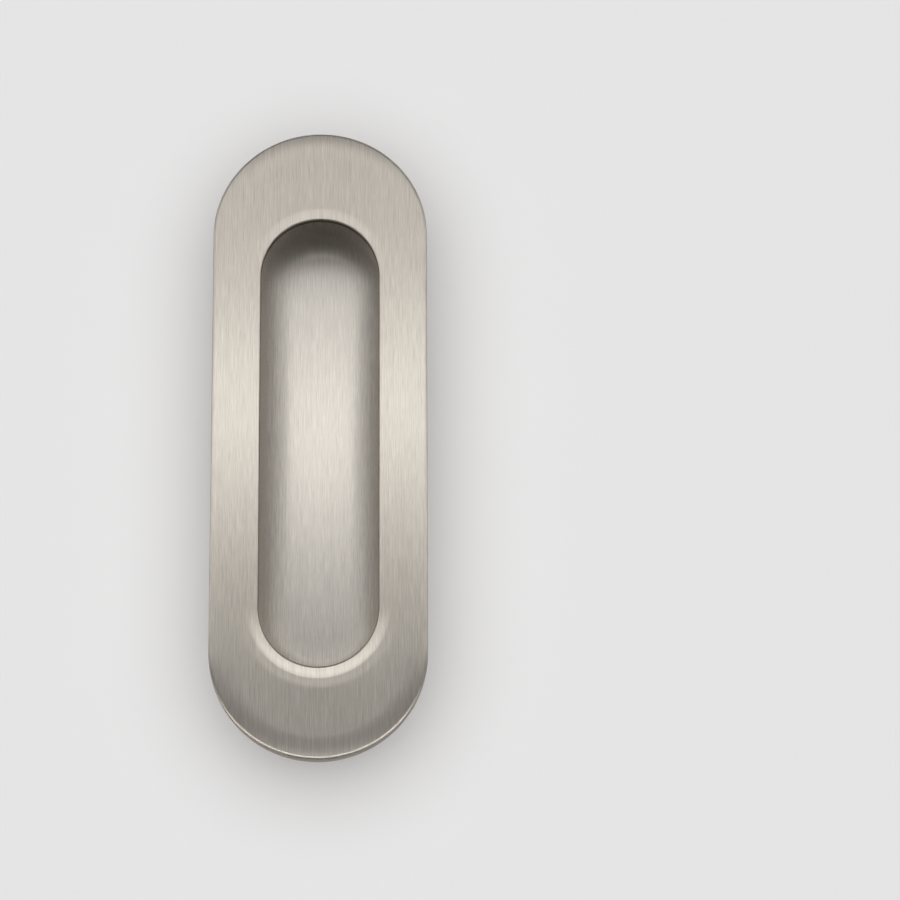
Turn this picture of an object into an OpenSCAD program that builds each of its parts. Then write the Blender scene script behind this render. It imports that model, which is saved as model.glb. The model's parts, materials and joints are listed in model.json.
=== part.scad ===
/* [Cover plate] */
// Length of the oval plate
plate_len = 120; // [112:1:180]
// Width of the oval plate, which is also the diameter of its round ends
plate_w = 40; // [34:1:60]
// Thickness of the plate over the flange
cover_t = 0.9; // [0.8:0.1:1.6]
// Thickness of the skirt that hides the flange's edge
skirt_t = 1; // [0.8:0.1:1.5]
// Face between the mouth and each end of the plate
end_land = 17.25; // [16:0.25:24]
// Face between the mouth and each side of the plate
side_land = 9; // [9:0.25:12]

/* [Rolled edges] */
// Width of the roll round the plate's outer edge
outer_roll_w = 4.3; // [3.5:0.1:4.5]
// Width of the bend at the end of the outer roll
outer_bend_w = 0.6; // [0.4:0.05:0.7]
// Radius of the soft part of the outer roll
outer_soft_r = 22; // [20:1:60]
// Radius of the outer roll's bend
outer_bend_r = 1.2; // [1.1:0.1:2]
// Radius that turns the outer roll's bend into the skirt
outer_edge_r = 0.3; // [0.1:0.05:0.4]
// Width of the soft dish round the mouth
mouth_roll_w = 4.4; // [3.5:0.1:4.4]
// Width of the bend at the dish's inner edge
mouth_bend_w = 2.3; // [1.5:0.1:2.8]
// Radius of the soft part of the dish
mouth_soft_r = 27; // [22:1:60]
// Radius of the dish's bend
mouth_bend_r = 11.5; // [9:0.5:16]
// Radius that turns the dish's bend into the lip
mouth_edge_r = 0.45; // [0.3:0.05:0.6]

/* [Lip] */
// Thickness of the lip that turns down into the cup
lip_t = 0.8; // [0.6:0.1:1.2]
// Depth of the lip's foot below the face
lip_h = 1.5; // [1.3:0.1:2.2]
// Clearance between the lip and the step that it sits in
lip_gap = 0.1; // [0.05:0.05:0.3]

/* [Cup] */
// Depth of the recess, from the face to the cup's floor
recess_d = 12; // [10:0.5:20]
// Thickness of the cup's wall
wall_t = 1.2; // [0.8:0.1:2]
// Thickness of the cup's floor
floor_t = 1.2; // [0.8:0.1:2]
// How far the cup's wall stands back behind the lip
wall_back = 0.25; // [0.1:0.05:0.4]
// Radius between the cup's wall and its floor, inside
foot_r = 4; // [1:0.25:4.5]
// Radius round the cup's back, outside
back_r = 1; // [0.3:0.1:3]
// Slope that stiffens the corner under the flange
root_w = 0.5; // [0.2:0.1:1]

/* [Flange] */
// Thickness of the flange, which carries the cover plate
flange_t = 2; // [1.9:0.1:3]
// Clearance between the flange's edge and the skirt
skirt_gap = 0.15; // [0.05:0.05:0.3]
// Chamfer that lets the cover plate onto the flange
lead_in = 0.3; // [0.1:0.05:0.4]

/* [Snap beads] */
// Radius of the beads on the skirt's inner face
bead_r = 0.4; // [0.3:0.05:0.45]
// Length of each bead along the skirt
bead_len = 6; // [3:0.5:8]
// Distance of the side beads from the middle of the plate
bead_y = 24; // [12:1:30]
// Clearance between a bead and the groove that it snaps into
bead_gap = 0.05; // [0.02:0.01:0.1]

/* [Screws] */
// Distance from the plate's end to a screw's axis
screw_margin = 8.5; // [7:0.25:9]
// Length of a screw, from the top of its head to its point
screw_len = 12; // [9:0.5:20]
// Outer diameter of the thread
thread_d = 3; // [2.5:0.1:3.2]
// Diameter of the plain neck under the head
neck_d = 2.6; // [2:0.1:3]
// Diameter of the countersunk head
head_d = 5.4; // [5:0.1:5.6]
// Upright rim of the head above its cone
head_rim = 0.15; // [0.05:0.05:0.2]
// How far the head lies below the top of the flange
head_sink = 0.1; // [0.05:0.05:0.15]
// Length of the screw's point
point_len = 3.5; // [2:0.25:5]
// Diameter of the hole that the screw passes through
hole_d = 3.4; // [3.3:0.1:4]
// Span of the cross recess across the head
cross_span = 2.8; // [2:0.1:3.2]
// Thickness of the cross recess's arms
cross_t = 0.6; // [0.4:0.05:0.8]
// Depth of the cross recess
cross_d = 1.1; // [0.6:0.1:1.4]

/* [Hidden] */
$fn = 96;

nickel = [0.74, 0.71, 0.67];
zinc = [0.76, 0.77, 0.78];

// How far cutting shapes run past what they cut
past = 1;

// Heights: the door's surface is at 0
face_z = flange_t + cover_t;
lip_z = face_z - lip_h;
floor_z = face_z - recess_d;
back_z = floor_z - floor_t;

// The plate's round ends and the straight stretch between their centres
plate_r = plate_w / 2;
plate_straight = plate_len - plate_w;
skirt_in_r = plate_r - skirt_t;
flange_r = skirt_in_r - skirt_gap;

// The mouth, whose round ends have centres of their own
mouth_r = plate_r - side_land;
mouth_straight = plate_len - 2 * end_land - 2 * mouth_r;
dish_r = mouth_r + mouth_roll_w;
seat_r = mouth_r + lip_t + lip_gap;
seat_z = lip_z - lip_gap;
cup_in_r = mouth_r + wall_back;
cup_out_r = cup_in_r + wall_t;

// The groove lies at half the flange's thickness, centred on the skirt's inner face
bead_z = flange_t / 2;
groove_r = bead_r + bead_gap;

// The screws stand on the plate's centre line
screw_y = plate_len / 2 - screw_margin;
head_top_z = flange_t - head_sink;
head_r = head_d / 2;
cone_top_z = head_top_z - head_rim;
cone_h = head_r - neck_d / 2;
point_z = head_top_z - screw_len;
// A right-angled countersink, so its radius grows by as much as its height
sink_h = head_r - hole_d / 2 + flange_t - cone_top_z;
cross_tip_r = cross_t / 2;

// A flat top that rolls down to an upright side: the roll starts at x = 0 and the side stands at x = w.
// Its soft radius, its bend and its edge radius run into each other without a corner.
module roll_section(w, bend_w, top, soft_r, bend_r, edge_r) {
    bend_x = w - bend_w;
    soft_turn = asin(bend_x / soft_r);
    bend_turn = asin((bend_w + bend_r * sin(soft_turn) - edge_r) / (bend_r - edge_r));
    edge_x = w - edge_r * (1 - sin(bend_turn));
    bend_top = top - soft_r * (1 - cos(soft_turn));
    side_top = bend_top - bend_r * (cos(soft_turn) - cos(bend_turn)) - edge_r * cos(bend_turn);
    intersection() {
        translate([0, top - soft_r]) circle(soft_r);
        square([bend_x, top + past]);
    }
    intersection() {
        translate([bend_x - bend_r * sin(soft_turn), bend_top - bend_r * cos(soft_turn)]) circle(bend_r);
        translate([bend_x, side_top]) square([w, top]);
        square([edge_x, top + past]);
    }
    intersection() {
        translate([w - edge_r, side_top]) circle(edge_r);
        translate([edge_x, side_top]) square([w, 2 * edge_r]);
    }
    square([w, side_top]);
}

// Half of a flat-bottomed pot's outline, with a rounded bottom corner
module pot_section(r, bottom, top, corner_r) {
    translate([0, bottom + corner_r]) square([r, top - bottom - corner_r]);
    translate([0, bottom]) square([r - corner_r, corner_r]);
    intersection() {
        translate([r - corner_r, bottom + corner_r]) circle(corner_r);
        translate([r - corner_r, bottom - corner_r]) square(2 * corner_r);
    }
}

// Carries a half section round an oval: two half turns, and a straight stretch between them
module oval_sweep(straight) {
    for (end = [0, 180])
        rotate([0, 0, end]) translate([0, straight / 2, 0]) rotate_extrude(angle = 180) children();
    rotate([90, 0, 0]) linear_extrude(height = straight, center = true) {
        children();
        mirror([1, 0]) children();
    }
}

// The plate with its skirt, before the mouth is let into it
module plate_section() {
    flat_r = plate_r - outer_roll_w;
    difference() {
        union() {
            square([flat_r, face_z]);
            translate([flat_r, 0])
                roll_section(outer_roll_w, outer_bend_w, face_z, outer_soft_r, outer_bend_r, outer_edge_r);
        }
        translate([-past, -past]) square([skirt_in_r + past, flange_t + past]);
    }
}

// The dish round the mouth, and the lip that turns down from it
module mouth_section() {
    difference() {
        translate([dish_r, 0]) mirror([1, 0])
            roll_section(mouth_roll_w, mouth_bend_w, face_z, mouth_soft_r, mouth_bend_r, mouth_edge_r);
        translate([mouth_r - past, -past]) square([dish_r, lip_z + past]);
        translate([mouth_r + lip_t, -past]) square([dish_r, flange_t + past]);
    }
}

// A rounded bead lying along y
module bead() {
    rotate([90, 0, 0]) cylinder(h = bead_len, r = bead_r, center = true);
    for (end = [-1, 1])
        translate([0, end * bead_len / 2, 0]) sphere(bead_r);
}

module beads() {
    for (x = [-1, 1], y = [-1, 1])
        translate([x * skirt_in_r, y * bead_y, bead_z]) bead();
    for (y = [-1, 1])
        translate([0, y * (plate_straight / 2 + skirt_in_r), bead_z]) rotate([0, 0, 90]) bead();
}

// The oval front plate, which snaps over the flange and hides the screws
module cover_plate() {
    color(nickel) {
        difference() {
            oval_sweep(plate_straight) plate_section();
            oval_sweep(mouth_straight) translate([0, -past]) square([dish_r, face_z + 2 * past]);
        }
        oval_sweep(mouth_straight) mouth_section();
        beads();
    }
}

// The flange's solid, with a chamfered top edge
module flange_section() {
    polygon([
        [0, 0],
        [flange_r, 0],
        [flange_r, flange_t - lead_in],
        [flange_r - lead_in, flange_t],
        [0, flange_t]
    ]);
}

// The cup's outside, up to the middle of the flange, with the sloped corner under the flange
module cup_section() {
    pot_section(cup_out_r, back_z, flange_t / 2, back_r);
    polygon([[cup_out_r - root_w, 0], [cup_out_r, -root_w], [cup_out_r + root_w, 0]]);
}

// The recess, with the step for the lip at its mouth
module recess_section() {
    pot_section(cup_in_r, floor_z, flange_t + past, foot_r);
    translate([0, seat_z]) square([seat_r, flange_t + past - seat_z]);
}

// A hole through the flange, countersunk for the screw's head
module screw_hole() {
    translate([0, 0, -past]) cylinder(h = flange_t + 2 * past, d = hole_d);
    translate([0, 0, flange_t - sink_h])
        cylinder(h = sink_h + past, r1 = hole_d / 2, r2 = hole_d / 2 + sink_h + past);
}

// The finger recess and the flange that lies on the door, in one piece
module cup() {
    color(nickel)
    difference() {
        union() {
            oval_sweep(plate_straight) flange_section();
            oval_sweep(mouth_straight) cup_section();
        }
        oval_sweep(mouth_straight) recess_section();
        oval_sweep(plate_straight) translate([skirt_in_r, bead_z]) circle(groove_r);
        for (y = [-1, 1])
            translate([0, y * screw_y, 0]) screw_hole();
    }
}

// A countersunk wood screw with a cross recess, standing on its own axis
module screw() {
    difference() {
        union() {
            translate([0, 0, cone_top_z]) cylinder(h = head_rim, r = head_r);
            translate([0, 0, cone_top_z - cone_h]) cylinder(h = cone_h, r1 = neck_d / 2, r2 = head_r);
            cylinder(h = cone_top_z - cone_h, d = neck_d);
            translate([0, 0, point_z + point_len]) cylinder(h = -point_z - point_len, d = thread_d);
            translate([0, 0, point_z]) cylinder(h = point_len, r1 = 0, r2 = thread_d / 2);
        }
        intersection() {
            translate([0, 0, head_top_z - cross_d])
                cylinder(h = cross_d + past, r1 = cross_tip_r, r2 = cross_span / 2 + past);
            for (turn = [0, 90])
                rotate([0, 0, turn])
                    translate([-cross_span / 2, -cross_t / 2, head_top_z - cross_d])
                        cube([cross_span, cross_t, cross_d + past]);
        }
    }
}

// The two screws that hold the cup to the door
module fixing_screws() {
    color(zinc)
    for (y = [-1, 1])
        translate([0, y * screw_y, 0]) screw();
}

cover_plate();
cup();
fixing_screws();
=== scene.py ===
"""An oval flush pull in brushed satin nickel, lying on a pale surface and seen from above."""

import json
import math

import bpy
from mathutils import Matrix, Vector
from mathutils.geometry import delaunay_2d_cdt

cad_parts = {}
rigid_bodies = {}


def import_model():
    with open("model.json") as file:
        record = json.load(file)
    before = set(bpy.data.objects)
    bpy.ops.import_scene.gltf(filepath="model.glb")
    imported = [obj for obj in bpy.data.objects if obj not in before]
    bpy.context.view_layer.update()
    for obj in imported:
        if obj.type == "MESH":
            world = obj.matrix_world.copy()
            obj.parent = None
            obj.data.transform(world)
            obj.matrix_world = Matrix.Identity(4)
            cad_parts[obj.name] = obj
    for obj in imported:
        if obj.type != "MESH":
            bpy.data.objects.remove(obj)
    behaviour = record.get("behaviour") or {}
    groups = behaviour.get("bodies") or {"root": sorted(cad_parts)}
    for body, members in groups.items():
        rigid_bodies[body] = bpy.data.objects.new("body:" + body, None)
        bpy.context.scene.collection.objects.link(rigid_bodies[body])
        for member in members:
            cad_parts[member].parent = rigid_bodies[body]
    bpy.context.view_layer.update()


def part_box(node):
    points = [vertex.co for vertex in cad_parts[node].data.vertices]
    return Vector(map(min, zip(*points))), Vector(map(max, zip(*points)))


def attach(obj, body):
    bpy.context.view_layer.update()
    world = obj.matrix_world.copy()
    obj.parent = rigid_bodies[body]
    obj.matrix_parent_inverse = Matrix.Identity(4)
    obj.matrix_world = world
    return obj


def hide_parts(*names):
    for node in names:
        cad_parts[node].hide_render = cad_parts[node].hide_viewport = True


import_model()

MM = 0.001

# Sizes are in millimetres unless a comment says otherwise. The plate's and the flange's outer ones come from
# the frame.
plate_lo, plate_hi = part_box("cover_plate")
cup_lo, cup_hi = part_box("cup")
PLATE_LEN = (plate_hi.y - plate_lo.y) / MM
PLATE_W = (plate_hi.x - plate_lo.x) / MM
FACE_Z = plate_hi.z / MM
BACK_Z = cup_lo.z / MM
FLANGE_T = cup_hi.z / MM
FLANGE_R = cup_hi.x / MM

# The plate's oval: the radius of its ends and how far their centres lie from the middle
PLATE_R = PLATE_W / 2
PLATE_C = PLATE_LEN / 2 - PLATE_R
SKIRT_R = 19.0
OUTER_ROLL = dict(width=4.3, bend_w=0.6, soft_r=22.0, bend_r=1.2, edge_r=0.3)

# The mouth's oval and its dish, the lip that turns down into the cup, and the step that the lip ends over
MOUTH_R = 11.0
MOUTH_C = 31.75
MOUTH_ROLL = dict(width=4.4, bend_w=2.3, soft_r=27.0, bend_r=11.5, edge_r=0.45)
LIP_T = 0.8
LIP_Z = 1.4
SEAT_R = 11.9
SEAT_Z = 1.3

# The cup
CUP_IN_R = 11.25
CUP_OUT_R = 12.45
FLOOR_Z = -9.1
FOOT_R = 4.0
BACK_R = 1.0
ROOT_W = 0.5
LEAD_IN = 0.3

# The beads on the skirt, with tips that are flat up to a share of their radius, and the groove that they
# snap into
BEAD_R = 0.4
BEAD_LEN = 6.0
BEAD_Y = 24.0
BEAD_Z = 1.0
BEAD_TIP_SHARE = 0.05
GROOVE_R = 0.45
GROOVE_SOFT = 0.01

# The screws with their holes, threads and cross recesses. Edges sharper than an angle in degrees look sharp
SCREW_Y = 51.5
HOLE_R = 1.7
SINK_H = 1.25
HEAD_TOP_Z = 1.9
CONE_TOP_Z = 1.75
HEAD_R = 2.7
NECK_R = 1.3
CREST_R = 1.5
CORE_R = 1.02
PITCH = 1.3
POINT_Z = -10.1
POINT_LEN = 3.5
TIP_R = 0.04
THREAD_TOP_Z = -0.35
CREST_SHARE = 0.2
CORE_TAPER = 0.8
CONE_SOFT = 0.05
HEAD_SOFT = 0.04
CROSS_SPAN = 2.8
CROSS_T = 0.6
CROSS_D = 1.1
CROSS_FOOT_EXTRA = 0.02
SHARP_ANGLE = 40

# Radius that takes the sharpness off every other edge
SOFT = 0.08

# How far a section runs on past its last corner, where a flat face takes over
FLAT_RUN = 0.3
FLOOR_RUN = 0.2
UNDERSIDE_RUN = 0.5
FACE_RUN = 0.02

# Faces whose normals point up or down by more than this share are brushed, the others are sides; on the
# plate the sides take a darker colour, which is painted shade
FLAT_LEAN = 0.62

# The metals' colours, and how rough, how drawn out along the grain and how streaked they are. The sides'
# colour is far darker than the plate's, which is painted shade on the upright faces and under the lip
PLATE_COLOUR = (0.735, 0.693, 0.635)
CUP_COLOUR = (0.85, 0.815, 0.768)
SHADED_SIDE_COLOUR = (0.30, 0.26, 0.215)
ZINC_COLOUR = (0.70, 0.71, 0.72)
BRUSHED = dict(roughness=0.47, anisotropy=0.75, contrast=0.15)
DRAWN = dict(roughness=0.5, anisotropy=0.3, contrast=0.1)

# Streaks: how often they change per millimetre across and along the grain, their detail and its roughness
FINE_STREAKS = (7.0, 0.22, 3, 0.65)
LONG_STREAKS = (4.0, 0.03, 2, 0.5)
CLOUDS = (0.06, 0.03, 2, 0.5)

# How far these take the tone and the roughness up and down, and how the fine ones scratch the surface
LONG_CONTRAST = 0.05
CLOUD_CONTRAST = 0.01
GLOSS_CHANGE = 0.02
SCRATCH_STRENGTH = 0.25
SCRATCH_DEPTH = 0.004

# The zinc's clouds: how often they change per metre, and the tones and roughnesses that they go between
ZINC_CLOUDS_PER_M = 900
ZINC_TONES = (0.9, 1.06)
ZINC_ROUGHNESSES = (0.24, 0.36)

# The part of its range in which noise usually lies
NOISE_LOW = 0.25
NOISE_HIGH = 0.75

# The brush doesn't reach the recess's wall, and beside it the colour is darkened, which is painted shade: up
# to which radius all is brushed and unshaded, from which on nothing is brushed and the painted shade is
# full, how dark the painted shade makes the metal, and how matt the metal is there
BRUSHED_UNSHADED_R = 5.0
UNBRUSHED_SHADED_R = 9.5
WALL_SHADE_TONE = 0.92
UNBRUSHED_ROUGHNESS = 0.68

# The camera, from the photograph's perspective: tilt in degrees, turn in radians and range in metres
LENS = 148.4
SENSOR_W = 36
CAMERA_MM = (23.34, -182.61, 663.7)
CAMERA_TILT = 15.27
CAMERA_TURN = -0.0047
CLIP_START = 0.01
CLIP_END = 100

# The floor, with half its width in metres, and the even light of the room and of a cone of sky in degrees
FLOOR_COLOUR = (0.811, 0.805, 0.805)
FLOOR_HALF = 4.0
FLOOR_MOTTLE = 0.003
FLOOR_MOTTLE_PER_M = 60
ROOM_LIGHT = 0.01
SKY_SHARE = 0.96
SKY_ANGLE = 116

# Softboxes that show in the metal alone, with their radiance last. A low one lies across the handle at some
# height above the door, between two places along Y. The one at the near end lights the plate alone.
LAMP_COLOUR = (1, 0.985, 0.96)
LOW_LAMPS = [
    (60, -92, -78, 3.4),
    (130, 36, 48, 2.5),
    (130, 48, 60, 0.3),
    (250, 60, 84, 1.2),
]

# A far one lies between two angles from straight up toward +Y, in degrees
FAR_LAMPS = [
    (-8, 10, 0.15),
    (20, 28, 1.35),
    (28, 36, 1.20),
    (48, 64, 0.50),
]

# The softboxes' spans along X and the far ones' distance, in metres
LOW_LAMP_SPAN = 0.8
FAR_LAMP_SPAN = 8.0
FAR_LAMP_AWAY = 2.0

# How finely curves are divided
TURN_STEPS = 96
STRAIGHT_STEPS = 12
ROUND_STEPS = 48
ARC_DEG = 7.0
BEAD_STEPS = 5
GROOVE_STEPS = 8
THREAD_STEP = 0.08

# For the triangulation of flat faces: inside the outline alone, and how close two points are the same
INSIDE_ALONE = 1
SAME_POINT = 1e-7


def oval_stations():
    """Places round an oval from its -Y end: the direction in degrees and the share of the straight."""
    half = TURN_STEPS // 2
    places = [(-90 + 90 * i / half, -1) for i in range(half)]
    places += [(0, -1 + 2 * i / STRAIGHT_STEPS) for i in range(STRAIGHT_STEPS)]
    places += [(180 * i / TURN_STEPS, 1) for i in range(TURN_STEPS)]
    places += [(180, 1 - 2 * i / STRAIGHT_STEPS) for i in range(STRAIGHT_STEPS)]
    places += [(180 + 90 * i / half, -1) for i in range(half)]
    return places


def round_stations():
    """Places round a circle."""
    return [(360 * i / ROUND_STEPS, 0) for i in range(ROUND_STEPS)]


def rounded(corners):
    """An open section from corners of (radius, height, fillet): points with normals to the left of it."""
    def unit(a, b):
        length = math.hypot(b[0] - a[0], b[1] - a[1])
        return (b[0] - a[0]) / length, (b[1] - a[1]) / length

    path = []
    first = unit(corners[0], corners[1])
    path.append((corners[0][0], corners[0][1], -first[1], first[0]))
    for before, corner, after in zip(corners, corners[1:], corners[2:]):
        come, go = unit(before, corner), unit(corner, after)
        turn = math.atan2(come[0] * go[1] - come[1] * go[0], come[0] * go[0] + come[1] * go[1])
        fillet = corner[2]
        reach = fillet * math.tan(abs(turn) / 2)
        side = math.copysign(1, turn)
        centre = (
            corner[0] - come[0] * reach - come[1] * fillet * side,
            corner[1] - come[1] * reach + come[0] * fillet * side,
        )
        steps = max(2, math.ceil(abs(math.degrees(turn)) / ARC_DEG))
        for i in range(steps + 1):
            angle = turn * i / steps
            way = (
                come[0] * math.cos(angle) - come[1] * math.sin(angle),
                come[0] * math.sin(angle) + come[1] * math.cos(angle),
            )
            path.append(
                (
                    centre[0] + way[1] * fillet * side,
                    centre[1] - way[0] * fillet * side,
                    -way[1],
                    way[0],
                )
            )
    last = unit(corners[-2], corners[-1])
    path.append((corners[-1][0], corners[-1][1], -last[1], last[0]))
    return path


class Ring:
    """A loop of points: their numbers, how far along it they are, and how far across the section it is."""

    def __init__(self, first, count, along, across, lean):
        self.ids = list(range(first, first + count)) + [first]
        self.along = along
        self.across = across
        self.lean = lean


class Skin:
    """A closed surface made of rings, with a normal at each point and the grain's place at each corner."""

    def __init__(self):
        self.points = []
        self.normals = []
        self.faces = []
        self.grain = []
        self.upright = []

    def loop(self, points, normals, across, lean):
        """A ring through these points, in their order."""
        first = len(self.points)
        self.points += points
        self.normals += normals
        along = [0.0]
        for a, b in zip(points, points[1:] + points[:1]):
            along.append(along[-1] + math.dist(a, b))
        return Ring(first, len(points), along, across, lean)

    def ring(self, places, middle, straight, radius, z, normal, across):
        """A loop round an oval whose straight runs from -straight to +straight about middle."""
        points, normals = [], []
        for degrees, share in places:
            c, s = math.cos(math.radians(degrees)), math.sin(math.radians(degrees))
            points.append((middle[0] + radius * c, middle[1] + radius * s + straight * share, z))
            normals.append((normal[0] * c, normal[0] * s, normal[1]))
        return self.loop(points, normals, across, abs(normal[1]))

    def sweep(self, places, section, straight, middle=(0.0, 0.0)):
        """Rings for each point of a section, joined by strips."""
        rings = []
        across = 0.0
        for i, (radius, z, out, up) in enumerate(section):
            if i:
                across += math.dist(section[i - 1][:2], (radius, z))
            rings.append(self.ring(places, middle, straight, radius, z, (out, up), across))
        for a, b in zip(rings, rings[1:]):
            self.strip(a, b)
        return rings

    def strip(self, a, b):
        """Joins two rings. Flat faces take their grain along Y, upright ones up and down."""
        flat = (a.lean + b.lean) / 2 > FLAT_LEAN
        for i in range(len(a.along) - 1):
            corners = [(a, i), (b, i), (b, i + 1), (a, i + 1)]
            self.faces.append([ring.ids[k] for ring, k in corners])
            self.upright.append(not flat)
            if flat:
                self.grain.append([self.points[ring.ids[k]][:2] for ring, k in corners])
            else:
                self.grain.append([(a.along[k], ring.across) for ring, k in corners])

    def fill(self, outline, holes, up):
        """A flat region inside one ring and outside others."""
        rings = [outline] + holes
        ids = [i for ring in rings for i in ring.ids[:-1]]
        owner = [n for n, ring in enumerate(rings) for _ in ring.ids[:-1]]
        edges = []
        for ring in rings:
            start = ids.index(ring.ids[0])
            count = len(ring.ids) - 1
            edges += [(start + i, start + (i + 1) % count) for i in range(count)]
        flat = [Vector(self.points[i][:2]) for i in ids]
        _, _, faces, whence, _, _ = delaunay_2d_cdt(flat, edges, [], INSIDE_ALONE, SAME_POINT)
        for face in faces:
            source = [whence[k][0] for k in face]
            rings_met = {owner[k] for k in source}
            if len(rings_met) == 1 and rings_met != {0}:
                continue
            corners = [ids[k] for k in source]
            a, b, c = (self.points[k] for k in corners)
            turn = (b[0] - a[0]) * (c[1] - a[1]) - (b[1] - a[1]) * (c[0] - a[0])
            if (turn > 0) != up:
                corners.reverse()
            self.faces.append(corners)
            self.upright.append(False)
            self.grain.append([self.points[k][:2] for k in corners])

    def close(self, ring, forward):
        """One flat face over a small ring."""
        corners = ring.ids[:-1] if forward else ring.ids[-2::-1]
        self.faces.append(list(corners))
        self.upright.append(False)
        self.grain.append([self.points[k][:2] for k in corners])

    def mesh(self, name, own_normals=True):
        """The surface as a mesh in metres, with its grain as a UV map: U across the grain and V along it."""
        mesh = bpy.data.meshes.new(name)
        mesh.from_pydata([Vector(p) * MM for p in self.points], [], self.faces)
        layer = mesh.uv_layers.new(name="grain")
        layer.data.foreach_set("uv", [value for face in self.grain for corner in face for value in corner])
        mesh.polygons.foreach_set("material_index", [int(value) for value in self.upright])
        mesh.shade_smooth()
        if own_normals:
            mesh.normals_split_custom_set_from_vertices(self.normals)
        mesh.update()
        return mesh


def rolled_edge(edge_x, top, way, width, bend_w, soft_r, bend_r, edge_r):
    """A flat top that turns down, out or inward, into an upright at edge_x: a soft part, a bend, an edge."""
    soft = math.asin((width - bend_w) / soft_r)
    bend = math.asin((bend_w + bend_r * math.sin(soft) - edge_r) / (bend_r - edge_r))
    x, z, tilt = edge_x - way * width, top, 0.0
    corners = []
    for radius, reached in ((soft_r, soft), (bend_r, bend), (edge_r, math.pi / 2)):
        reach = radius * math.tan((reached - tilt) / 2)
        x += way * reach * math.cos(tilt)
        z -= reach * math.sin(tilt)
        corners.append((x, z, radius))
        tilt = reached
        x += way * reach * math.cos(tilt)
        z -= reach * math.sin(tilt)
    return corners


def add(name, mesh, materials, body_slot, *nodes):
    """A piece that stands for CAD nodes, with a material for its flat faces and one for its sides."""
    piece = bpy.data.objects.new(name, mesh)
    bpy.context.scene.collection.objects.link(piece)
    for material in materials:
        mesh.materials.append(material)
    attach(piece, "root")
    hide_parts(*nodes)
    return piece


def bead(skin, middle, way):
    """A round-ended bead lying level along way, half sunk in the skirt."""
    rings = []
    half = BEAD_LEN / 2
    stops = [(-half, math.radians(-90 + 90 * i / BEAD_STEPS)) for i in range(BEAD_STEPS + 1)]
    stops += [(half, math.radians(90 * i / BEAD_STEPS)) for i in range(BEAD_STEPS + 1)]
    for end, latitude in stops:
        reach = max(math.cos(latitude), BEAD_TIP_SHARE)
        lie = end + BEAD_R * math.sin(latitude)
        points, normals = [], []
        for i in range(4 * BEAD_STEPS):
            c = math.cos(math.tau * i / (4 * BEAD_STEPS))
            s = math.sin(math.tau * i / (4 * BEAD_STEPS))
            sideways = (way[1] * c, -way[0] * c)
            points.append((
                middle[0] + way[0] * lie + sideways[0] * BEAD_R * reach,
                middle[1] + way[1] * lie + sideways[1] * BEAD_R * reach,
                BEAD_Z + BEAD_R * reach * s,
            ))
            normals.append((
                sideways[0] * reach + way[0] * math.sin(latitude),
                sideways[1] * reach + way[1] * math.sin(latitude),
                s * reach,
            ))
        rings.append(skin.loop(points, normals, lie, 0))
    for a, b in zip(rings, rings[1:]):
        skin.strip(b, a)
    skin.close(rings[0], True)
    skin.close(rings[-1], False)


def cover_plate():
    """The oval plate: outer roll and skirt on the plate's oval, dish and lip on the mouth's."""
    skin = Skin()
    places = oval_stations()
    roll = rolled_edge(PLATE_R, FACE_Z, 1, **OUTER_ROLL)
    outside = rounded([
        (PLATE_R - OUTER_ROLL["width"] - FACE_RUN, FACE_Z, 0),
        *roll,
        (PLATE_R, 0, SOFT),
        (SKIRT_R, 0, SOFT),
        (SKIRT_R, FLANGE_T, SOFT),
        (SKIRT_R - UNDERSIDE_RUN, FLANGE_T, 0),
    ])
    dish = rolled_edge(MOUTH_R, FACE_Z, -1, **MOUTH_ROLL)
    lip_out_r = MOUTH_R + LIP_T
    mouth = rounded([
        (lip_out_r + UNDERSIDE_RUN, FLANGE_T, 0),
        (lip_out_r, FLANGE_T, SOFT),
        (lip_out_r, LIP_Z, SOFT),
        (MOUTH_R, LIP_Z, SOFT),
        *reversed(dish),
        (MOUTH_R + MOUTH_ROLL["width"] + FACE_RUN, FACE_Z, 0),
    ])
    outer = skin.sweep(places, outside, PLATE_C)
    inner = skin.sweep(places, mouth, MOUTH_C)
    skin.strip(outer[-1], inner[0])
    skin.strip(inner[-1], outer[0])
    for side in (-1, 1):
        for y in (-BEAD_Y, BEAD_Y):
            bead(skin, (side * SKIRT_R, y), (0, 1))
        bead(skin, (0, side * (PLATE_C + SKIRT_R)), (1, 0))
    return skin.mesh("cover_plate_skin")


def screw_hole(skin, y):
    """A countersunk hole through the flange, as its bottom and top rings."""
    path = rounded([
        (HOLE_R + FLAT_RUN, 0, 0),
        (HOLE_R, 0, SOFT),
        (HOLE_R, FLANGE_T - SINK_H, SOFT),
        (HOLE_R + SINK_H, FLANGE_T, SOFT),
        (HOLE_R + SINK_H + FLAT_RUN, FLANGE_T, 0),
    ])
    rings = skin.sweep(round_stations(), path, 0, (0, y))
    return rings[0], rings[-1]


def groove_arc():
    """The snap groove in the flange's edge: corners that follow a circle cut into it."""
    reach = math.degrees(math.acos((SKIRT_R - FLANGE_R) / GROOVE_R))
    arc = []
    for i in range(GROOVE_STEPS + 1):
        angle = math.radians(180 - reach + 2 * reach * i / GROOVE_STEPS)
        radius = SKIRT_R + GROOVE_R * math.cos(angle)
        arc.append((radius, BEAD_Z + GROOVE_R * math.sin(angle), GROOVE_SOFT))
    return arc


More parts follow.
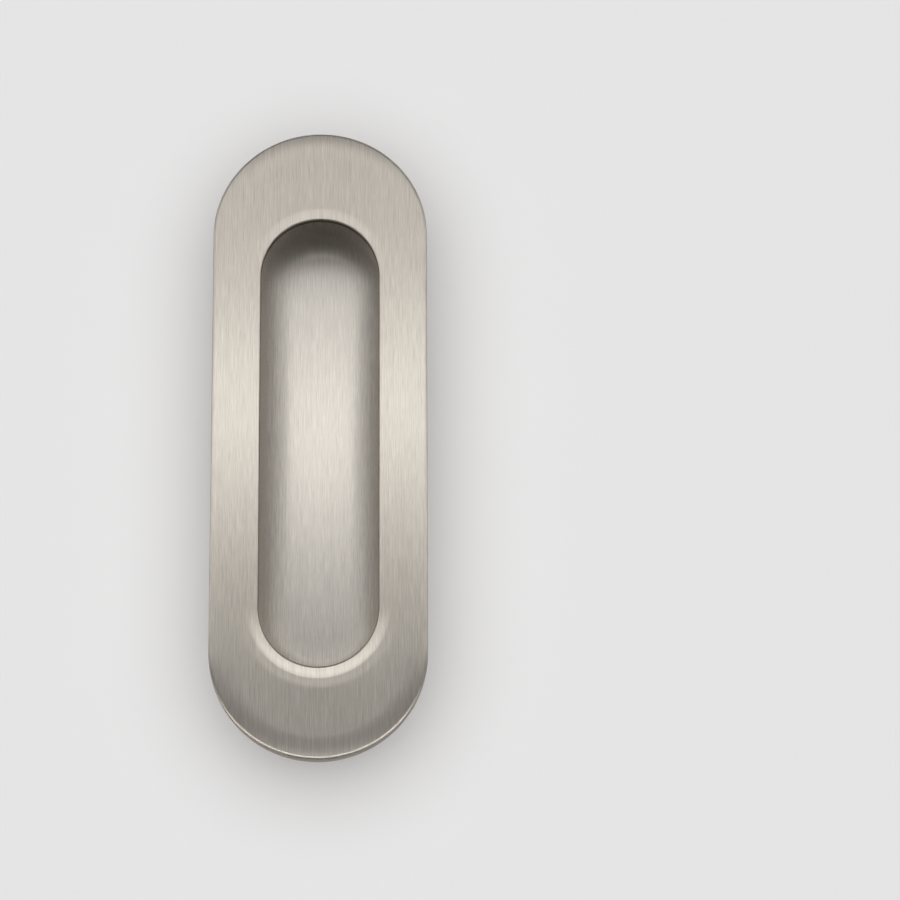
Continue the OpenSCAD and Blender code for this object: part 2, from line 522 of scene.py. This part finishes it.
def cup():
    """The finger recess and its flange, with the screw holes."""
    skin = Skin()
    places = oval_stations()
    inside = rounded([
        (CUP_IN_R - FOOT_R - FLOOR_RUN, FLOOR_Z, 0),
        (CUP_IN_R, FLOOR_Z, FOOT_R),
        (CUP_IN_R, SEAT_Z, SOFT),
        (SEAT_R, SEAT_Z, SOFT),
        (SEAT_R, FLANGE_T, SOFT),
        (SEAT_R + FLAT_RUN, FLANGE_T, 0),
    ])
    edge = rounded([
        (FLANGE_R - LEAD_IN - FLAT_RUN, FLANGE_T, 0),
        (FLANGE_R - LEAD_IN, FLANGE_T, SOFT),
        (FLANGE_R, FLANGE_T - LEAD_IN, SOFT),
        *groove_arc(),
        (FLANGE_R, 0, SOFT),
        (FLANGE_R - FLAT_RUN, 0, 0),
    ])
    outside = rounded([
        (CUP_OUT_R + ROOT_W + FLAT_RUN, 0, 0),
        (CUP_OUT_R + ROOT_W, 0, SOFT),
        (CUP_OUT_R, -ROOT_W, SOFT),
        (CUP_OUT_R, BACK_Z, BACK_R),
        (CUP_OUT_R - BACK_R - FLOOR_RUN, BACK_Z, 0),
    ])
    recess = skin.sweep(places, inside, MOUTH_C)
    rim = skin.sweep(places, edge, PLATE_C)
    shell = skin.sweep(places, outside, MOUTH_C)
    holes = [screw_hole(skin, y) for y in (-SCREW_Y, SCREW_Y)]
    skin.fill(recess[0], [], True)
    skin.fill(rim[0], [recess[-1]] + [top for _, top in holes], True)
    skin.fill(rim[-1], [shell[0]] + [bottom for bottom, _ in holes], False)
    skin.fill(shell[-1], [], False)
    return skin.mesh("cup_skin")


def cross_points(half_span, half_width, z):
    """The outline of a cross, anticlockwise from its right arm."""
    arm = [(half_span, -half_width), (half_span, half_width), (half_width, half_width)]
    turns = [(1, 0), (0, 1), (-1, 0), (0, -1)]
    return [(x * c - y * s, x * s + y * c, z) for c, s in turns for x, y in arm]


def thread_radius(degrees, z):
    """A screw's radius at a direction and height: a thin crest wound round a core, tapering to the point."""
    below = POINT_Z + POINT_LEN - z
    taper = 1 if below <= 0 else max(1 - below / POINT_LEN, 0)
    start = min(max((THREAD_TOP_Z - z) / PITCH, 0), 1)
    phase = ((z / PITCH) - degrees / 360) % 1
    crest = max(1 - abs(phase - 0.5) / CREST_SHARE, 0)
    core = CORE_R * taper ** CORE_TAPER
    return core + (CREST_R * taper - core) * crest * start


def screw(skin, y):
    """A countersunk cross-recessed wood screw."""
    places = round_stations()
    head = rounded([
        (CORE_R, THREAD_TOP_Z, 0),
        (NECK_R, 0, SOFT),
        (NECK_R, CONE_TOP_Z - (HEAD_R - NECK_R), SOFT),
        (HEAD_R, CONE_TOP_Z, CONE_SOFT),
        (HEAD_R, HEAD_TOP_Z, HEAD_SOFT),
        (HEAD_R - FLAT_RUN, HEAD_TOP_Z, 0),
    ])
    rings = skin.sweep(places, head, 0, (0, y))
    rows = round((THREAD_TOP_Z - POINT_Z) / THREAD_STEP)
    above = rings[0]
    for i in range(1, rows):
        z = THREAD_TOP_Z - THREAD_STEP * i
        points = []
        for degrees, _ in places:
            radius = max(thread_radius(degrees, z), TIP_R)
            turn = math.radians(degrees)
            points.append((radius * math.cos(turn), y + radius * math.sin(turn), z))
        below = skin.loop(points, points, THREAD_STEP * i, 0)
        skin.strip(below, above)
        above = below
    skin.close(above, False)
    top = cross_points(CROSS_SPAN / 2, CROSS_T / 2, HEAD_TOP_Z)
    bottom = cross_points(CROSS_T / 2 + CROSS_FOOT_EXTRA, CROSS_T / 2, HEAD_TOP_Z - CROSS_D)
    mouth, foot = (
        skin.loop([(x, y + across, z) for x, across, z in outline], outline, depth, 0)
        for outline, depth in ((top, 0), (bottom, CROSS_D))
    )
    skin.fill(rings[-1], [mouth], True)
    skin.strip(foot, mouth)
    skin.fill(foot, [], True)


def fixing_screws():
    """Both screws in one mesh, shaded sharp at their edges."""
    skin = Skin()
    for y in (-SCREW_Y, SCREW_Y):
        screw(skin, y)
    mesh = skin.mesh("fixing_screws_skin", own_normals=False)
    mesh.set_sharp_from_angle(angle=math.radians(SHARP_ANGLE))
    return mesh


def put(tree, kind, inputs=None, **settings):
    """A shader node with its settings, and its inputs set to values or joined to other nodes' outputs."""
    made = tree.nodes.new(kind)
    for name, value in settings.items():
        setattr(made, name, value)
    for name, value in (inputs or {}).items():
        if isinstance(value, bpy.types.NodeSocket):
            tree.links.new(value, made.inputs[name])
        else:
            made.inputs[name].default_value = value
    return made


def streaks(tree, grain, across, along, detail, roughness):
    """Noise that is drawn out along the grain. across and along are how often it changes per millimetre."""
    stretched = put(
        tree,
        "ShaderNodeMapping",
        {"Vector": grain, "Scale": (across, along, 1)},
        vector_type="POINT",
    )
    noise = put(
        tree,
        "ShaderNodeTexNoise",
        {"Vector": stretched.outputs["Vector"], "Scale": 1, "Detail": detail, "Roughness": roughness},
        noise_dimensions="2D",
    )
    return noise.outputs["Fac"]


def spread(tree, value, low, high):
    """Takes noise from its usual range to low and high."""
    made = put(
        tree,
        "ShaderNodeMapRange",
        {"Value": value, "From Min": NOISE_LOW, "From Max": NOISE_HIGH, "To Min": low, "To Max": high},
    )
    return made.outputs["Result"]


def vary(tree, value, middle, change):
    """Takes noise to a number that is up to change below or above middle."""
    return spread(tree, value, middle - change, middle + change)


def ramp(tree, value, start, end):
    """Goes from start to end as the value goes from 0 to 1."""
    made = put(tree, "ShaderNodeMapRange", {"Value": value, "To Min": start, "To Max": end})
    return made.outputs["Result"]


def times(tree, a, b):
    """The product of two numbers."""
    made = put(tree, "ShaderNodeMath", operation="MULTIPLY")
    for socket, value in zip(made.inputs, (a, b)):
        if isinstance(value, bpy.types.NodeSocket):
            tree.links.new(value, socket)
        else:
            socket.default_value = value
    return made.outputs["Value"]


def by_the_wall(tree):
    """How near the cup's wall a place is: 0 in the middle of the recess, rising to 1 beside the wall."""
    place = put(tree, "ShaderNodeTexCoord").outputs["Object"]
    apart = put(tree, "ShaderNodeSeparateXYZ", {"Vector": place})
    length = put(tree, "ShaderNodeMath", {0: apart.outputs["Y"]}, operation="ABSOLUTE")
    past = put(tree, "ShaderNodeMath", {0: length.outputs[0], 1: MOUTH_C * MM}, operation="SUBTRACT")
    end = put(tree, "ShaderNodeMath", {0: past.outputs[0], 1: 0.0}, operation="MAXIMUM")
    flat = put(tree, "ShaderNodeCombineXYZ", {"X": apart.outputs["X"], "Y": end.outputs[0]})
    away = put(tree, "ShaderNodeVectorMath", {0: flat.outputs["Vector"]}, operation="LENGTH")
    made = put(
        tree,
        "ShaderNodeMapRange",
        {"Value": away.outputs["Value"], "From Min": BRUSHED_UNSHADED_R * MM, "From Max": UNBRUSHED_SHADED_R * MM},
        interpolation_type="SMOOTHSTEP",
    )
    return made.outputs["Result"]


def brushed_metal(name, colour, roughness, anisotropy, contrast, in_cup=False):
    """Metal brushed with fine streaks: they change its colour and roughness, and scratch its surface.

    In the cup the brush doesn't reach the wall, so there the metal is more matt and has no grain; beside the
    wall its colour is also darker, which is painted shade.
    """
    material = bpy.data.materials.new(name)
    material.use_nodes = True
    tree = material.node_tree
    shader = tree.nodes["Principled BSDF"]
    grain = put(tree, "ShaderNodeUVMap", uv_map="grain").outputs["UV"]
    fine = streaks(tree, grain, *FINE_STREAKS)
    long = streaks(tree, grain, *LONG_STREAKS)
    cloud = streaks(tree, grain, *CLOUDS)
    tone = times(tree, vary(tree, fine, 1, contrast), vary(tree, long, 1, LONG_CONTRAST))
    tone = times(tree, tone, vary(tree, cloud, 1, CLOUD_CONTRAST))
    gloss = vary(tree, fine, roughness, GLOSS_CHANGE)
    if in_cup:
        near = by_the_wall(tree)
        # Painted shade: the colour darkens toward the cup's wall
        tone = times(tree, tone, ramp(tree, near, 1.0, WALL_SHADE_TONE))
        rougher = put(
            tree,
            "ShaderNodeMath",
            {0: near, 1: UNBRUSHED_ROUGHNESS - roughness, 2: gloss},
            operation="MULTIPLY_ADD",
        )
        gloss = rougher.outputs["Value"]
        tree.links.new(ramp(tree, near, anisotropy, 0.0), shader.inputs["Anisotropic"])
    tint = put(tree, "ShaderNodeVectorMath", {0: colour, "Scale": tone}, operation="SCALE")
    tree.links.new(tint.outputs["Vector"], shader.inputs["Base Color"])
    tree.links.new(gloss, shader.inputs["Roughness"])
    scratch = put(
        tree,
        "ShaderNodeBump",
        {"Strength": SCRATCH_STRENGTH, "Distance": SCRATCH_DEPTH * MM, "Height": fine},
    )
    tree.links.new(scratch.outputs["Normal"], shader.inputs["Normal"])
    tangent = put(tree, "ShaderNodeTangent", direction_type="UV_MAP", uv_map="grain")
    tree.links.new(tangent.outputs["Tangent"], shader.inputs["Tangent"])
    shader.inputs["Metallic"].default_value = 1
    shader.inputs["Anisotropic"].default_value = anisotropy
    return material


def zinc_plate(name):
    """Bright bluish plating, a little cloudy."""
    material = bpy.data.materials.new(name)
    material.use_nodes = True
    tree = material.node_tree
    shader = tree.nodes["Principled BSDF"]
    place = put(tree, "ShaderNodeTexCoord").outputs["Object"]
    noise = put(tree, "ShaderNodeTexNoise", {"Vector": place, "Scale": ZINC_CLOUDS_PER_M, "Detail": 3})
    cloud = noise.outputs["Fac"]
    tint = put(
        tree,
        "ShaderNodeVectorMath",
        {0: ZINC_COLOUR, "Scale": spread(tree, cloud, *ZINC_TONES)},
        operation="SCALE",
    )
    tree.links.new(tint.outputs["Vector"], shader.inputs["Base Color"])
    tree.links.new(spread(tree, cloud, *ZINC_ROUGHNESSES), shader.inputs["Roughness"])
    shader.inputs["Metallic"].default_value = 1
    return material


def pale_surface(name):
    """The matt surface that the handle lies on."""
    material = bpy.data.materials.new(name)
    material.use_nodes = True
    tree = material.node_tree
    shader = tree.nodes["Principled BSDF"]
    place = put(tree, "ShaderNodeTexCoord").outputs["Object"]
    mottle = put(tree, "ShaderNodeTexNoise", {"Vector": place, "Scale": FLOOR_MOTTLE_PER_M, "Detail": 4})
    tint = put(
        tree,
        "ShaderNodeVectorMath",
        {0: FLOOR_COLOUR, "Scale": vary(tree, mottle.outputs["Fac"], 1, FLOOR_MOTTLE)},
        operation="SCALE",
    )
    tree.links.new(tint.outputs["Vector"], shader.inputs["Base Color"])
    shader.inputs["Roughness"].default_value = 1
    shader.inputs["Specular IOR Level"].default_value = 0
    return material


def floor():
    """A wide level surface under the cup."""
    half = FLOOR_HALF
    z = BACK_Z * MM
    mesh = bpy.data.meshes.new("floor")
    corners = [(-half, -half, z), (half, -half, z), (half, half, z), (-half, half, z)]
    mesh.from_pydata(corners, [], [(0, 1, 2, 3)])
    mesh.materials.append(pale_surface("pale_surface"))
    made = bpy.data.objects.new("floor", mesh)
    bpy.context.scene.collection.objects.link(made)


def softbox(name, place, aim, size, radiance):
    """A rectangular lamp of a given radiance that shows in metal and doesn't light the floor."""
    lamp = bpy.data.lights.new(name, "AREA")
    lamp.shape = "RECTANGLE"
    lamp.size, lamp.size_y = size
    lamp.energy = radiance * math.pi * size[0] * size[1]
    lamp.color = LAMP_COLOUR
    made = bpy.data.objects.new(name, lamp)
    made.location = place
    made.rotation_euler = (Vector(aim) - Vector(place)).to_track_quat("-Z", "Y").to_euler()
    made.visible_diffuse = False
    made.visible_camera = False
    bpy.context.scene.collection.objects.link(made)
    return made


def shine_on(lamp, piece):
    """Lets a lamp light one piece alone."""
    lit = bpy.data.collections.new(f"{lamp.name}_shines_on")
    lit.objects.link(piece)
    lamp.light_linking.receiver_collection = lit


def softboxes(plate):
    """The low lamps, of which the one at the near end lights the plate alone, and the far ones."""
    for height, start, end, radiance in LOW_LAMPS:
        middle = (start + end) / 2 * MM
        size = (LOW_LAMP_SPAN, (end - start) * MM)
        lamp = softbox(f"low_{height}_{start}", (0, middle, height * MM), (0, middle, 0), size, radiance)
        if end < 0:
            shine_on(lamp, plate)
    for start, end, radiance in FAR_LAMPS:
        angle = math.radians((start + end) / 2)
        place = (0, FAR_LAMP_AWAY * math.sin(angle), FAR_LAMP_AWAY * math.cos(angle))
        size = (FAR_LAMP_SPAN, 2 * FAR_LAMP_AWAY * math.tan(math.radians((end - start) / 2)))
        softbox(f"far_{start}", place, (0, 0, 0), size, radiance)


def sky_light():
    """An even lamp over a wide cone of the sky, for the floor and its soft shadow."""
    lamp = bpy.data.lights.new("overhead", "SUN")
    lamp.energy = SKY_SHARE * math.pi
    lamp.angle = math.radians(SKY_ANGLE)
    made = bpy.data.objects.new("overhead", lamp)
    made.visible_glossy = False
    bpy.context.scene.collection.objects.link(made)


def surroundings():
    """Dim grey all round, and the floor's colour where the camera sees past the floor."""
    world = bpy.data.worlds.new("surroundings")
    world.use_nodes = True
    bpy.context.scene.world = world
    tree = world.node_tree
    room = tree.nodes["Background"]
    room.inputs["Color"].default_value = (1, 1, 1, 1)
    room.inputs["Strength"].default_value = ROOM_LIGHT
    backdrop = put(tree, "ShaderNodeBackground", {"Color": (*FLOOR_COLOUR, 1), "Strength": 1})
    path = put(tree, "ShaderNodeLightPath")
    both = put(
        tree,
        "ShaderNodeMixShader",
        {0: path.outputs["Is Camera Ray"], 1: room.outputs[0], 2: backdrop.outputs[0]},
    )
    tree.links.new(both.outputs[0], tree.nodes["World Output"].inputs["Surface"])


def camera():
    """The photograph's camera."""
    lens = bpy.data.cameras.new("camera")
    lens.sensor_width = SENSOR_W
    lens.lens = LENS
    lens.clip_start = CLIP_START
    lens.clip_end = CLIP_END
    made = bpy.data.objects.new("camera", lens)
    made.location = [v * MM for v in CAMERA_MM]
    made.rotation_euler = (math.radians(CAMERA_TILT), 0, CAMERA_TURN)
    bpy.context.scene.collection.objects.link(made)
    bpy.context.scene.camera = made


camera()
floor()
surroundings()
sky_light()

plate_metal = brushed_metal("brushed_nickel_plate", PLATE_COLOUR, **BRUSHED)
cup_metal = brushed_metal("brushed_nickel_cup", CUP_COLOUR, in_cup=True, **BRUSHED)
# The sides' metal has a drawn finish, and its colour is darkened, which is painted shade on the plate's
# upright faces and under its lip
shaded_side_metal = brushed_metal("drawn_nickel_shaded_side", SHADED_SIDE_COLOUR, **DRAWN)
zinc = zinc_plate("zinc_plating")

plate = add("cover_plate_face", cover_plate(), (plate_metal, shaded_side_metal), "satin_nickel", "cover_plate")
add("finger_cup", cup(), (cup_metal, cup_metal), "satin_nickel", "cup")
add("wood_screws", fixing_screws(), (zinc, zinc), "zinc_plate", "fixing_screws")

softboxes(plate)

bpy.context.scene.view_settings.view_transform = "Standard"
